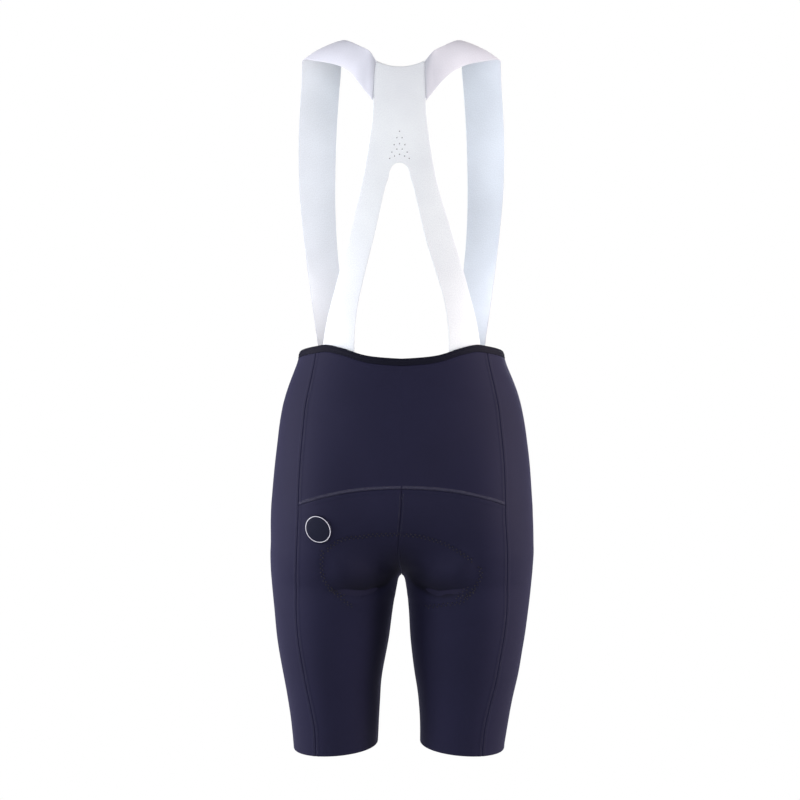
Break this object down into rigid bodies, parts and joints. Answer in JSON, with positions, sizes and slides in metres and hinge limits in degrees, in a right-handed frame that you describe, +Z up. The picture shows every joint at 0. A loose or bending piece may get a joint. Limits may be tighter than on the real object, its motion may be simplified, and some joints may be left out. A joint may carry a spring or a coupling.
{
  "type": "cycling bib shorts",
  "caption": "Close-fitting cycling shorts with an inverted-Y back yoke and elastic shoulder straps, hollow and open as worn.",
  "frame": {"origin": "midway between the wearer's shoulders, at the height where the straps' neck-side edges rest on them", "axes": "+Z up, the wearer faces -Y, so +X is the wearer's left"},
  "size_m": [0.3472, 0.2187, 0.9222],
  "materials": {
    "navy_knit": "matt warp knit of polyamide and elastane, with a faint sheen",
    "white_strap_knit": "fine matt stretch knit with cut edges",
    "rubber_patch": "satin soft moulded disc with a pale ring",
    "pad_fleece": "brushed microfibre over foam"
  },
  "bodies": {
    "root": {"back_waist_panel": "navy_knit", "back_seat_left": "navy_knit", "back_seat_right": "navy_knit", "front_left": "navy_knit", "front_right": "navy_knit", "waist_band": "navy_knit", "back_yoke": "white_strap_knit", "shoulder_strap_left": "white_strap_knit", "shoulder_strap_right": "white_strap_knit", "round_patch": "rubber_patch", "seat_pad": "pad_fleece"}
  },
  "joints": []
}
